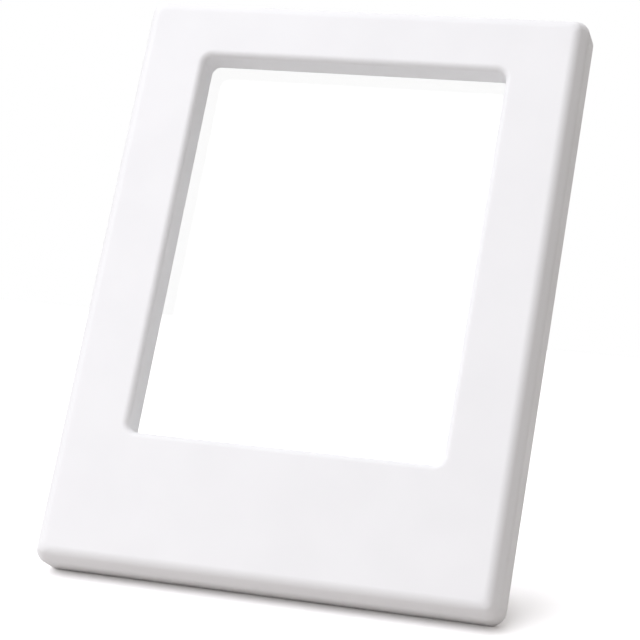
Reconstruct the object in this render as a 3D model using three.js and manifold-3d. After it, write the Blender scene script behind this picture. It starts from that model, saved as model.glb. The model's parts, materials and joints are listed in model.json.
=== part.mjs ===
// A photo frame that leans on a swing-out leg. Magnets hold its rear cover, and the same magnets hold
// the frame on a steel door when the leg is folded away.
//
// Everything is modelled upright first, then the whole frame is leaned back.
// Upright axes, in millimetres: X to the right, Y from the front face to the rear, Z up from the bottom edge.
import * as THREE from 'three';
import { mergeVertices } from 'three/addons/utils/BufferGeometryUtils.js';
import Module from 'manifold-3d';

// Outside of the frame
const OUTER_WIDTH = 100;
const OUTER_HEIGHT = 130;
const OUTER_DEPTH = 10.5;
const CORNER_RADIUS = 2.2;
const TIGHTEST_CORNER = 0.5;
const FRONT_ROUND = 3.3;
const REAR_ROUND = 1.5;
const LEAN_DEGREES = 30;

// Window
const SIDE_BORDER = 15.5;
const TOP_BORDER = 13.4;
const BOTTOM_BORDER = 29.1;
const WINDOW_CORNER_RADIUS = 2;
const WINDOW_ROUND = 1;
const WINDOW_DEPTH = 6.7;

// Walls of the front moulding
const FACE_THICKNESS = 2.4;
const WINDOW_WALL = 2;
const REAR_LIP = 1.8;
const LEDGE_WIDTH = 1.2;

// Clearances
const SEAT_GAP = 0.3;
const SLIDE_GAP = 0.3;
const SWING_GAP = 0.4;

// Pane, and the ribs that place it and the print
const PANE_THICKNESS = 0.8;
const PANE_OVERLAP = 4.2;
const PANE_CORNER_RADIUS = 3;
const PRINT_SLOT = 0.3;
const RIB_LENGTH = 8;
const RIB_THICKNESS = 1.2;
const RIB_FROM_WINDOW_CORNER = 18;

// Rear cover
const COVER_RECESS = 0.2;
const COVER_OPENING_MARGIN = 2.4;
const NAIL_NOTCH_RADIUS = 7;
const NAIL_NOTCH_HEIGHT = 3;
const NAIL_NOTCH_DEPTH = 1.6;

// Magnets and the pads over them
const MAGNET_RADIUS = 3;
const MAGNET_INSET = 7;
const BEZEL_MAGNET_THICKNESS = 2;
const COVER_MAGNET_THICKNESS = 0.8;
const BOSS_WALL = 0.9;
const BOSS_TO_COVER = 0.6;
const PAD_THICKNESS = 0.8;

// Swing-out leg
const LEG_LENGTH = 32;
const LEG_THICKNESS = 2.2;
const LEG_BOTTOM = 6.1;
const LEG_TOP = 19.5;
const LEG_TIP_HEIGHT = 2.8;
const LEG_TIP_RADIUS = 1.2;
const FOOT_LENGTH = 8;
const FOOT_THICKNESS = 1;
const KNUCKLE_RADIUS = 2.1;
const PIN_RADIUS = 0.9;
const PIN_EAR = 0.9;
const WASHER_THICKNESS = 0.5;
const HINGE_BLOCK_WALL = 1.2;
const LEG_TRAY_WALL = 1;
const SCOOP_RADIUS = 4.5;
const SCOOP_DEPTH = 1.6;

// How finely round shapes are divided
const CORNER_STEPS = 6;
const ROUND_STEPS = 6;
const DISC_STEPS = 32;

// How far a cut or a joined piece runs past the face that it meets
const OVERRUN = 0.5;

// Places along the depth, from the front face to the rear
const paneFront = WINDOW_DEPTH + SEAT_GAP;
const paneRear = paneFront + PANE_THICKNESS;
const coverFront = paneRear + PRINT_SLOT;
const coverRear = OUTER_DEPTH - COVER_RECESS;
const ledge = coverFront - SEAT_GAP;
const bossTop = coverFront - BOSS_TO_COVER;

// Upright rectangles with rounded corners
const outer = {
  left: -OUTER_WIDTH / 2,
  right: OUTER_WIDTH / 2,
  bottom: 0,
  top: OUTER_HEIGHT,
  radius: CORNER_RADIUS,
};
const windowEdge = {
  left: outer.left + SIDE_BORDER,
  right: outer.right - SIDE_BORDER,
  bottom: outer.bottom + BOTTOM_BORDER,
  top: outer.top - TOP_BORDER,
  radius: WINDOW_CORNER_RADIUS,
};

// The rectangle grown outwards on every side; a negative amount shrinks it.
function grow(rect, amount, radius = Math.max(rect.radius + amount, TIGHTEST_CORNER)) {
  return {
    left: rect.left - amount,
    right: rect.right + amount,
    bottom: rect.bottom - amount,
    top: rect.top + amount,
    radius,
  };
}

const pane = grow(windowEdge, PANE_OVERLAP, PANE_CORNER_RADIUS);
const cover = grow(outer, -(REAR_LIP + SLIDE_GAP));
const coverOpening = grow(windowEdge, COVER_OPENING_MARGIN);

// Lean, and the surface that the frame stands on
const lean = THREE.MathUtils.degToRad(LEAN_DEGREES);

// Height, in the upright axes, of the standing surface under a given depth.
function standingHeight(depth) {
  const fromRound = depth - OUTER_DEPTH + REAR_ROUND;
  return REAR_ROUND + (fromRound * Math.sin(lean) - REAR_ROUND) / Math.cos(lean);
}

// Solids
const wasm = await Module();
wasm.setup();

function solid(geometry) {
  const bare = geometry.clone();
  bare.deleteAttribute('normal');
  bare.deleteAttribute('uv');
  const merged = mergeVertices(bare, 1e-5);
  return new wasm.Manifold(new wasm.Mesh({
    numProp: 3,
    vertProperties: new Float32Array(merged.attributes.position.array),
    triVerts: new Uint32Array(merged.index.array),
  }));
}

function surface(manifold) {
  const mesh = manifold.getMesh();
  const geometry = new THREE.BufferGeometry();
  geometry.setAttribute('position', new THREE.BufferAttribute(mesh.vertProperties, 3));
  geometry.setIndex(new THREE.BufferAttribute(mesh.triVerts, 1));
  const flat = geometry.toNonIndexed();
  flat.computeVertexNormals();
  return flat;
}

function combine(base, added, removed) {
  const joined = added.reduce((sum, geometry) => sum.add(solid(geometry)), solid(base));
  return surface(removed.reduce((rest, geometry) => rest.subtract(solid(geometry)), joined));
}

// The corner points of a rounded rectangle at one depth, anticlockwise as seen from the front.
function ringPoints(rect, depth) {
  const corners = [
    [rect.right - rect.radius, rect.bottom + rect.radius, -Math.PI / 2],
    [rect.right - rect.radius, rect.top - rect.radius, 0],
    [rect.left + rect.radius, rect.top - rect.radius, Math.PI / 2],
    [rect.left + rect.radius, rect.bottom + rect.radius, Math.PI],
  ];
  const points = [];
  for (const [x, z, start] of corners) {
    for (let step = 0; step <= CORNER_STEPS; step += 1) {
      const angle = start + (Math.PI / 2) * (step / CORNER_STEPS);
      points.push([x + rect.radius * Math.cos(angle), depth, z + rect.radius * Math.sin(angle)]);
    }
  }
  return points;
}

// A closed ring whose section runs through the given stations, each a rounded rectangle at a depth.
function ringSolid(stations) {
  const rings = stations.map(([rect, depth]) => ringPoints(rect, depth));
  const count = rings[0].length;
  const index = [];
  rings.forEach((ring, here) => {
    const next = (here + 1) % rings.length;
    for (let point = 0; point < count; point += 1) {
      const after = (point + 1) % count;
      const a = here * count + point;
      const b = here * count + after;
      const c = next * count + after;
      const d = next * count + point;
      index.push(a, b, c, a, c, d);
    }
  });
  const geometry = new THREE.BufferGeometry();
  geometry.setAttribute('position', new THREE.Float32BufferAttribute(rings.flat(2), 3));
  geometry.setIndex(index);
  return geometry;
}

// A quarter round between a wall and a face, as pairs of inset from the wall and depth from the face.
function quarterRound(radius, steps) {
  return Array.from({ length: steps + 1 }, (_, step) => {
    const angle = (Math.PI / 2) * (step / steps);
    return [radius * (1 - Math.cos(angle)), radius * (1 - Math.sin(angle))];
  });
}

function outlineShape(points) {
  return new THREE.Shape(points.map(([x, y]) => new THREE.Vector2(x, y)));
}

// An upright outline in X and Z, made solid between two depths.
function slab(shape, front, rear) {
  const geometry = new THREE.ExtrudeGeometry(shape, { depth: rear - front, bevelEnabled: false });
  return geometry.rotateX(Math.PI / 2).translate(0, rear, 0);
}

function roundedSlab(rect, front, rear) {
  const points = ringPoints(rect, 0).map(([x, , z]) => [x, z]);
  return slab(outlineShape(points), front, rear);
}

function disc(radius, front, rear, x = 0, z = 0) {
  const geometry = new THREE.CylinderGeometry(radius, radius, rear - front, DISC_STEPS);
  return geometry.translate(x, (front + rear) / 2, z);
}

function post(radius, bottom, top) {
  const geometry = new THREE.CylinderGeometry(radius, radius, top - bottom, DISC_STEPS);
  return geometry.rotateX(Math.PI / 2).translate(0, 0, (bottom + top) / 2);
}

function block(left, right, front, rear, bottom, top) {
  const geometry = new THREE.BoxGeometry(right - left, rear - front, top - bottom);
  return geometry.translate((left + right) / 2, (front + rear) / 2, (bottom + top) / 2);
}

// Materials
const whitePlastic = new THREE.MeshStandardMaterial({ color: 0xf3f3f5, roughness: 0.42, metalness: 0 });
const clearPlastic = new THREE.MeshStandardMaterial({
  color: 0xffffff, roughness: 0.03, metalness: 0, transparent: true, opacity: 0.15,
});
const nickel = new THREE.MeshStandardMaterial({ color: 0xc9c9cc, roughness: 0.25, metalness: 1 });
const steel = new THREE.MeshStandardMaterial({ color: 0xb4b6ba, roughness: 0.35, metalness: 1 });
const softGrey = new THREE.MeshStandardMaterial({ color: 0x6d6f73, roughness: 0.9, metalness: 0 });
const nylon = new THREE.MeshStandardMaterial({ color: 0xe6e2d6, roughness: 0.6, metalness: 0 });

function piece(name, geometry, material) {
  const mesh = new THREE.Mesh(geometry, material);
  mesh.name = name;
  return mesh;
}

// Corner places that the magnets share
const magnetPlaces = [
  [outer.left + MAGNET_INSET, outer.bottom + MAGNET_INSET],
  [outer.right - MAGNET_INSET, outer.bottom + MAGNET_INSET],
  [outer.left + MAGNET_INSET, outer.top - MAGNET_INSET],
  [outer.right - MAGNET_INSET, outer.top - MAGNET_INSET],
];
const pocketRadius = MAGNET_RADIUS + SEAT_GAP;
const bossRadius = pocketRadius + BOSS_WALL;

// Front moulding
const bezelMagnetRear = bossTop - SEAT_GAP;
const bezelMagnetFront = bezelMagnetRear - BEZEL_MAGNET_THICKNESS;

function bezelShell() {
  const rearRound = quarterRound(REAR_ROUND, ROUND_STEPS / 2);
  const frontRound = quarterRound(FRONT_ROUND, ROUND_STEPS);
  const windowRound = quarterRound(WINDOW_ROUND, ROUND_STEPS);
  const lipInside = grow(outer, -REAR_LIP);
  const wallInside = grow(lipInside, -LEDGE_WIDTH);
  const windowWallOutside = grow(windowEdge, WINDOW_WALL);
  return ringSolid([
    ...rearRound.toReversed().map(([inset, rise]) => [grow(outer, -inset), OUTER_DEPTH - rise]),
    ...frontRound.map(([inset, rise]) => [grow(outer, -inset), rise]),
    ...windowRound.toReversed().map(([inset, rise]) => [grow(windowEdge, inset), rise]),
    [windowEdge, WINDOW_DEPTH],
    [windowWallOutside, WINDOW_DEPTH],
    [windowWallOutside, FACE_THICKNESS],
    [wallInside, FACE_THICKNESS],
    [wallInside, ledge],
    [lipInside, ledge],
    [lipInside, OUTER_DEPTH],
  ]);
}

// Ribs stand just outside the pane's edges, two to a side.
function paneRibs() {
  const front = FACE_THICKNESS - OVERRUN;
  const near = SEAT_GAP;
  const far = SEAT_GAP + RIB_THICKNESS;
  const half = RIB_LENGTH / 2;
  const ribs = [];
  for (const z of [windowEdge.bottom + RIB_FROM_WINDOW_CORNER, windowEdge.top - RIB_FROM_WINDOW_CORNER]) {
    ribs.push(block(pane.left - far, pane.left - near, front, ledge, z - half, z + half));
    ribs.push(block(pane.right + near, pane.right + far, front, ledge, z - half, z + half));
  }
  for (const x of [windowEdge.left + RIB_FROM_WINDOW_CORNER, windowEdge.right - RIB_FROM_WINDOW_CORNER]) {
    ribs.push(block(x - half, x + half, front, ledge, pane.bottom - far, pane.bottom - near));
    ribs.push(block(x - half, x + half, front, ledge, pane.top + near, pane.top + far));
  }
  return ribs;
}

function frontBezel() {
  const pocketFloor = bezelMagnetFront - SEAT_GAP;
  const bosses = magnetPlaces.map(([x, z]) => disc(bossRadius, FACE_THICKNESS - OVERRUN, bossTop, x, z));
  const pockets = magnetPlaces.map(([x, z]) => disc(pocketRadius, pocketFloor, bossTop + OVERRUN, x, z));
  return piece('front_bezel', combine(bezelShell(), [...bosses, ...paneRibs()], pockets), whitePlastic);
}

function frontPane() {
  return piece('front_pane', roundedSlab(pane, paneFront, paneRear), clearPlastic);
}

// Discs of one kind, one in each corner
function cornerDiscs(name, radius, front, rear, material) {
  return magnetPlaces.map(([x, z], place) => {
    const mesh = piece(`${name}_${place + 1}`, disc(radius, front, rear), material);
    mesh.position.set(x, 0, z);
    return mesh;
  });
}

// Leg, in its own axes: the hinge runs along Z at the origin, and the leg reaches along +Y.
const hingeDepth = coverRear - KNUCKLE_RADIUS;
const boreRadius = PIN_RADIUS + SEAT_GAP;
const legOuterFace = -KNUCKLE_RADIUS;
const legInnerFace = legOuterFace + LEG_THICKNESS;
const footRise = (FOOT_THICKNESS + SEAT_GAP) / Math.cos(lean);
const legFloor = (reach) => standingHeight(hingeDepth + reach);
const footStart = LEG_LENGTH - FOOT_LENGTH;
const legTipTop = legFloor(LEG_LENGTH) + footRise + LEG_TIP_HEIGHT;

// An outline in the leg's reach and height, made solid across the leg's thickness.
function legSlab(shape) {
  const geometry = new THREE.ExtrudeGeometry(shape, { depth: LEG_THICKNESS, bevelEnabled: false });
  return geometry.applyMatrix4(new THREE.Matrix4().set(
    0, 0, 1, legOuterFace,
    1, 0, 0, 0,
    0, 1, 0, 0,
    0, 0, 0, 1,
  ));
}

function swingLeg() {
  const shape = new THREE.Shape();
  shape.moveTo(0, LEG_BOTTOM);
  shape.lineTo(footStart - SEAT_GAP, legFloor(footStart - SEAT_GAP) + footRise);
  shape.lineTo(LEG_LENGTH, legFloor(LEG_LENGTH) + footRise);
  shape.lineTo(LEG_LENGTH, legTipTop - LEG_TIP_RADIUS);
  shape.absarc(LEG_LENGTH - LEG_TIP_RADIUS, legTipTop - LEG_TIP_RADIUS, LEG_TIP_RADIUS, 0, Math.PI / 2);
  shape.lineTo(0, LEG_TOP);
  shape.closePath();
  const knuckle = post(KNUCKLE_RADIUS, LEG_BOTTOM, LEG_TOP);
  const bore = post(boreRadius, LEG_BOTTOM - OVERRUN, LEG_TOP + OVERRUN);
  return piece('swing_leg', combine(legSlab(shape), [knuckle], [bore]), whitePlastic);
}

function legFoot() {
  const thickness = FOOT_THICKNESS / Math.cos(lean);
  const shape = outlineShape([
    [footStart, legFloor(footStart)],
    [LEG_LENGTH, legFloor(LEG_LENGTH)],
    [LEG_LENGTH, legFloor(LEG_LENGTH) + thickness],
    [footStart, legFloor(footStart) + thickness],
  ]);
  return piece('leg_foot', legSlab(shape), softGrey);
}

// Hinge stack along the pin: ear, washer, knuckle, washer, ear, each a seat gap apart
const lowerWasherBottom = LEG_BOTTOM - SEAT_GAP - WASHER_THICKNESS;
const upperWasherBottom = LEG_TOP + SEAT_GAP;
const lowerEar = lowerWasherBottom - SEAT_GAP;
const upperEar = upperWasherBottom + WASHER_THICKNESS + SEAT_GAP;
const pinTop = upperEar + PIN_EAR;
const hingeBlockBottom = cover.bottom + LEDGE_WIDTH;
const pinBottom = hingeBlockBottom + SEAT_GAP;

function hingePin() {
  return piece('hinge_pin', post(PIN_RADIUS, pinBottom, pinTop), steel);
}

function hingeWasher(name, bottom) {
  const top = bottom + WASHER_THICKNESS;
  const ring = post(KNUCKLE_RADIUS, bottom, top);
  const bore = post(boreRadius, bottom - OVERRUN, top + OVERRUN);
  return piece(name, combine(ring, [], [bore]), nylon);
}

// Rear cover
const padRear = OUTER_DEPTH + SEAT_GAP;
const padFront = padRear - PAD_THICKNESS;
const coverMagnetRear = padFront - SEAT_GAP;
const coverMagnetFront = coverMagnetRear - COVER_MAGNET_THICKNESS;

// The recess that the folded leg lies in is deeper than the cover's plate, so a tray stands in front of it.
const recessFloor = hingeDepth - legInnerFace - SEAT_GAP;
const recessSide = KNUCKLE_RADIUS + SWING_GAP;
const cutRear = OUTER_DEPTH + OVERRUN;

// The recess seen from the rear, grown on every side by a margin
function recessOutline(margin) {
  const side = recessSide + margin;
  const tip = LEG_LENGTH + SWING_GAP + margin;
  const bendReach = footStart - SEAT_GAP - SWING_GAP;
  const below = SWING_GAP / Math.cos(lean) + margin;
  return outlineShape([
    [-side, lowerEar - margin],
    [side, lowerEar - margin],
    [bendReach, legFloor(bendReach) - below],
    [tip, legFloor(tip) - below],
    [tip, legTipTop + SWING_GAP + margin],
    [side, upperEar + margin],
    [-side, upperEar + margin],
  ]);
}

// The recess, with the trough for the leg's knuckle and a scoop for a fingertip
function legRecess() {
  const scoopHeight = (legFloor(LEG_LENGTH) + legTipTop) / 2;
  return [
    slab(recessOutline(0), recessFloor, cutRear),
    block(-recessSide, recessSide, hingeDepth - recessSide, cutRear, lowerEar, upperEar),
    disc(SCOOP_RADIUS, coverRear - SCOOP_DEPTH, cutRear, LEG_LENGTH, scoopHeight),
  ];
}

function rearCover() {
  const side = recessSide + HINGE_BLOCK_WALL;
  const blockTop = pinTop + SEAT_GAP + HINGE_BLOCK_WALL / 2;
  const hingeBlock = block(-side, side, hingeDepth - side, coverFront + OVERRUN, hingeBlockBottom, blockTop);
  const legTray = slab(recessOutline(LEG_TRAY_WALL), recessFloor - LEG_TRAY_WALL, coverFront + OVERRUN);
  const opening = roundedSlab(coverOpening, coverFront - OVERRUN, cutRear);
  const pocketFloor = coverMagnetFront - SEAT_GAP;
  const pockets = magnetPlaces.map(([x, z]) => disc(pocketRadius, pocketFloor, padRear + OVERRUN, x, z));
  const pinBore = post(boreRadius, cover.bottom - OVERRUN, pinTop + SEAT_GAP).translate(0, hingeDepth, 0);
  const notchFront = coverRear - NAIL_NOTCH_DEPTH;
  const notchCentre = cover.top - NAIL_NOTCH_HEIGHT + NAIL_NOTCH_RADIUS;
  const nailNotch = disc(NAIL_NOTCH_RADIUS, notchFront, cutRear, 0, notchCentre);
  const cuts = [opening, ...pockets, ...legRecess(), pinBore, nailNotch];
  const plate = roundedSlab(cover, coverFront, coverRear);
  return piece('rear_cover', combine(plate, [hingeBlock, legTray], cuts), whitePlastic);
}

// Assembly
const hinge = new THREE.Group();
hinge.position.set(0, hingeDepth, 0);
hinge.add(
  swingLeg(),
  legFoot(),
  hingePin(),
  hingeWasher('hinge_washer_lower', lowerWasherBottom),
  hingeWasher('hinge_washer_upper', upperWasherBottom),
);

const upright = new THREE.Group();
upright.add(
  frontBezel(),
  frontPane(),
  ...cornerDiscs('bezel_magnet', MAGNET_RADIUS, bezelMagnetFront, bezelMagnetRear, nickel),
  rearCover(),
  ...cornerDiscs('cover_magnet', MAGNET_RADIUS, coverMagnetFront, coverMagnetRear, nickel),
  ...cornerDiscs('grip_pad', MAGNET_RADIUS, padFront, padRear, softGrey),
  hinge,
);
upright.rotation.x = -lean;

// The origin is on the standing surface, under the middle of the frame's box.
const photoFrame = new THREE.Group();
photoFrame.add(upright);
const box = new THREE.Box3().setFromObject(photoFrame, true);
const middle = box.getCenter(new THREE.Vector3());
upright.position.set(-middle.x, -middle.y, -box.min.z);

export default photoFrame;
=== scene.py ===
import json
import math
from typing import NamedTuple

import bmesh
import bpy
import numpy as np
from bpy.props import FloatProperty, FloatVectorProperty, PointerProperty
from mathutils import Matrix
from mathutils.geometry import tessellate_polygon


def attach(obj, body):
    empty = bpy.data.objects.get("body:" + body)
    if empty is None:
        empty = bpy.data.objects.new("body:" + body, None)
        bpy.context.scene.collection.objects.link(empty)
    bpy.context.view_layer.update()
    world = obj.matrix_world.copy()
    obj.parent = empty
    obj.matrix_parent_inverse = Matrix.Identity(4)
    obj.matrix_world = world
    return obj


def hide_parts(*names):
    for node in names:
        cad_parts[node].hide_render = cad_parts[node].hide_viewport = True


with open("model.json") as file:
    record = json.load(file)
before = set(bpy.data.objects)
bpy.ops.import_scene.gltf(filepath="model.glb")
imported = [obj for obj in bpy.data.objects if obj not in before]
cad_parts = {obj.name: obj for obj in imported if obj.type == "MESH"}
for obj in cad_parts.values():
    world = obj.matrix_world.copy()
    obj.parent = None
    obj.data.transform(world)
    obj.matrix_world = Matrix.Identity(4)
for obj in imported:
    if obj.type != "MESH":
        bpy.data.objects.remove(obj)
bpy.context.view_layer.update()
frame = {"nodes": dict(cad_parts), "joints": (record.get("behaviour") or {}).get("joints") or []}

bl_info = {
    "name": "Leaning photo frame",
    "version": (1, 0, 0),
    "blender": (4, 5, 0),
    "location": "3D View > Sidebar > Photo frame",
    "description": "Photo frame with a magnetic rear cover and a swing-out leg, its finishes and stage",
    "category": "Add Mesh",
}

# The frame leans back, so its pieces are worked out in upright axes, in metres: X to the right,
# Y from the front face to the rear, Z up from the bottom edge.
# The cover slides straight back along Y, and the leg turns about Z.
JOINTS = {joint["name"]: joint for joint in frame["joints"]}
REARWARD = np.array(JOINTS["cover_pull"]["axis"], float)
UPWARD = -np.array(JOINTS["leg_swing"]["axis"], float)
UPRIGHT = np.array([np.cross(REARWARD, UPWARD), REARWARD, UPWARD])
# In the upright axes the standing surface climbs by this much for each metre of depth.
FLOOR_CLIMB = -REARWARD[2] / REARWARD[1]

# The magnets, their cups and the grip pads are numbered by the frame's corners.
FRAME_CORNERS = (1, 2, 3, 4)

# How finely round shapes are divided
CORNER_STEPS = 24
TURN_STEPS = 64
ROUND_FINENESS = 0.0001
FEWEST_ROUND_STEPS = 4
LEG_SIDE_POINTS = 40
LEG_EDGE_POINTS = 7
LEG_CORNER_POINTS = 8
KNUCKLE_POINTS = 48
FOOT_POINTS = 96
# A round is followed by a point this far along the flat, so that the flat is shaded as a flat.
FLAT_HOLD = 0.00008
# Edges that turn more than this are shaded as sharp, or softened on a copy of a CAD node.
SHARP_ANGLE = math.radians(35)

# How a copy of a CAD node is cleaned and softened
MERGE_DISTANCE = 1e-6
FLAT_ANGLE = math.radians(0.5)
BEVEL_SEGMENTS = 3

# Fixed numbers of the stage, in metres, apart from the camera's sensor in millimetres
SENSOR_WIDTH = 36.0
NEAREST_SEEN = 0.01
FARTHEST_SEEN = 100.0
FLOOR_HALF = 0.22
FLOOR_POINTS = 13
FLOOR_DROP = 0.00002

# Places of a Mix node's sockets for colours
MIX_FACTOR = 0
MIX_FIRST = 6
MIX_SECOND = 7
MIX_RESULT = 2


def turned_upright(node):
    """The points of a CAD node along the upright axes, measured from the row's origin."""
    mesh = frame["nodes"][node].data
    points = np.empty(3 * len(mesh.vertices), np.float32)
    mesh.vertices.foreach_get("co", points)
    return points.reshape(-1, 3).astype(float) @ UPRIGHT.T


# The upright origin is at the front face and the bottom edge, midway across.
START = turned_upright("front_bezel").min(axis=0) * (0, 1, 1)


def upright_box(node):
    """Lowest and highest corner of a CAD node in the upright axes."""
    points = turned_upright(node) - START
    return points.min(axis=0), points.max(axis=0)


def round_box(node):
    """Radius, middle, lowest corner and highest corner of a round CAD node in the upright axes."""
    low, high = upright_box(node)
    return (high[0] - low[0]) / 2, (low + high) / 2, low, high


class Rect(NamedTuple):
    """An upright rectangle with round corners, seen from the front."""
    left: float
    right: float
    bottom: float
    top: float
    radius: float


class Grain(NamedTuple):
    """How a moulded surface looks close up.

    Size and mottle are the sizes of its fine and its slow changes, and height is the depth of the grain,
    all in metres. The roughness drifts between glossy and dull, and bump is the strength of the grain.
    """
    size: float
    mottle: float
    glossy: float
    dull: float
    bump: float
    height: float


def unit(vector):
    return vector / np.linalg.norm(vector)


def circle(turn):
    """Points of the unit circle at the given turns."""
    return np.stack([np.cos(turn), np.sin(turn)], axis=1)


def numbered(shape):
    """The numbers from 0 on in an array of the given shape: the places of points in a flat list."""
    return np.arange(math.prod(shape)).reshape(shape)


def round_corner(before, corner, after, radius):
    """An arc in place of a corner.

    The circle of the given radius touches both sides of the corner. With h half the angle inside the
    corner, it touches them radius / tan(h) away, and its centre is radius / sin(h) away on the line
    that halves the angle. The arc swings evenly from one touching point to the other.
    """
    to_before = unit(before - corner)
    to_after = unit(after - corner)
    half = np.arccos(np.clip(to_before @ to_after, -1, 1)) / 2
    reach = radius / np.tan(half)
    centre = corner + unit(to_before + to_after) * radius / np.sin(half)
    sweep = math.pi - 2 * half
    share = np.linspace(0, 1, max(FEWEST_ROUND_STEPS, round(radius / ROUND_FINENESS)) + 1)[:, None]
    start = corner + to_before * reach - centre
    end = corner + to_after * reach - centre
    arc = centre + (np.sin((1 - share) * sweep) * start + np.sin(share * sweep) * end) / np.sin(sweep)
    first = corner + to_before * (reach + FLAT_HOLD)
    last = corner + to_after * (reach + FLAT_HOLD)
    return np.concatenate([first[None], arc, last[None]])


def rounded_section(corners, radii, closed=False):
    """A section's corner points with each corner made round.

    An open section has a radius for each corner between its two ends, and the ends are left out. A
    closed section has a radius for every corner.
    """
    corners = np.array(corners, float)
    if closed:
        corners = np.concatenate([corners[-1:], corners, corners[:1]])
    return np.concatenate([
        round_corner(corners[place], corners[place + 1], corners[place + 2], radius)
        for place, radius in enumerate(radii)
    ])


def rect_rings(rect, section, tightest=0.0):
    """Rings of a section carried round a rectangle with round corners.

    Each section point is a pair of growth and depth. The rectangle grows by that much on every side, and
    so does its corner radius, which never gets smaller than the tightest.
    """
    quarter = np.linspace(0, math.pi / 2, CORNER_STEPS + 1)
    turn = (np.arange(-1, 3)[:, None] * math.pi / 2 + quarter).ravel()
    growth = section[:, :1]
    radius = np.maximum(rect.radius + growth, tightest)
    inset = radius - growth
    side_x = np.repeat([1, 1, -1, -1], CORNER_STEPS + 1)
    side_z = np.repeat([-1, 1, 1, -1], CORNER_STEPS + 1)
    centre_x = np.where(side_x > 0, rect.right - inset, rect.left + inset)
    centre_z = np.where(side_z > 0, rect.top - inset, rect.bottom + inset)
    x = centre_x + radius * np.cos(turn)
    z = centre_z + radius * np.sin(turn)
    return np.stack([x, np.broadcast_to(section[:, 1:], x.shape), z], axis=-1)


def turned_rings(section, x, z):
    """Rings of a section, given as radius and depth, turned about a line along Y through x and z."""
    turn = np.linspace(0, 2 * math.pi, TURN_STEPS, endpoint=False)
    across = section[:, :1] * np.cos(turn)
    rise = section[:, :1] * np.sin(turn)
    return np.stack([x + across, np.broadcast_to(section[:, 1:], across.shape), z + rise], axis=-1)


def upright_turned_rings(section, x, depth):
    """Rings of a section, given as radius and height, turned about a line along Z through x and depth."""
    return turned_rings(section, x, depth)[..., [0, 2, 1]]


def outward(points, blocks):
    """The face blocks of a closed shell, turned over where the shell's signed volume is negative."""
    volume = 0.0
    for block in blocks:
        for corner in range(1, block.shape[1] - 1):
            a, b, c = (points[block[:, place]] for place in (0, corner, corner + 1))
            volume += np.einsum("ij,ij->", a, np.cross(b, c))
    return blocks if volume > 0 else [block[:, ::-1] for block in blocks]


def facing(points, block, sign):
    """The triangles of a block, each turned so that its normal's Z has the given sign."""
    a, b, c = (points[block[:, place]] for place in range(3))
    wrong = np.cross(b - a, c - a)[:, 2] * sign < 0
    return np.where(wrong[:, None], block[:, ::-1], block)


def skin(rings, closed=False):
    """A closed shell through rings of points.

    Quads join each ring to the next. A closed skin also joins the last ring to the first, and an open
    one has a flat face inside each of its two end rings.
    """
    index = numbered(rings.shape[:2])
    onward = np.roll(index, -1, axis=1)
    quads = np.stack([index, onward, np.roll(onward, -1, axis=0), np.roll(index, -1, axis=0)], axis=-1)
    blocks = [quads.reshape(-1, 4)]
    if not closed:
        blocks = [quads[:-1].reshape(-1, 4), index[:1, ::-1], index[-1:]]
    points = rings.reshape(-1, 3)
    return points, outward(points, blocks)


def settle(piece, body, material, nodes):
    """Gives a piece its finish and the CAD body that it belongs to, and hides the CAD nodes that it
    stands for.
    """
    piece.data.materials.clear()
    piece.data.materials.append(material)
    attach(piece, body)
    if nodes:
        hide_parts(*nodes)


def make_piece(name, shells, body, slot, material, *nodes):
    """One mesh object from closed shells in the upright axes, leaned back into the row's frame."""
    first = 0
    points, faces = [], []
    for shell_points, blocks in shells:
        points.append(shell_points)
        for block in blocks:
            faces += (block + first).tolist()
        first += len(shell_points)
    mesh = bpy.data.meshes.new(name)
    mesh.from_pydata(((np.concatenate(points) + START) @ UPRIGHT).tolist(), [], faces)
    mesh.shade_smooth()
    mesh.set_sharp_from_angle(angle=SHARP_ANGLE)
    piece = bpy.data.objects.new(name, mesh)
    bpy.context.scene.collection.objects.link(piece)
    settle(piece, body, material, nodes)


def length(name, description, default):
    return FloatProperty(
        name=name, description=description, default=default, min=0.0, precision=5,
        subtype="DISTANCE", unit="LENGTH",
    )


def colour(name, description, default):
    return FloatVectorProperty(
        name=name, description=description, default=default, size=4, min=0.0, max=1.0, subtype="COLOR",
    )


def number(name, description, default):
    return FloatProperty(name=name, description=description, default=default, min=0.0, precision=3)


def angle(name, description, degrees):
    return FloatProperty(
        name=name, description=description, default=math.radians(degrees),
        subtype="ANGLE", unit="ROTATION",
    )


def direction(name, description, default):
    return FloatVectorProperty(
        name=name, description=description, default=default, size=3, precision=3, subtype="DIRECTION",
    )


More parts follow.
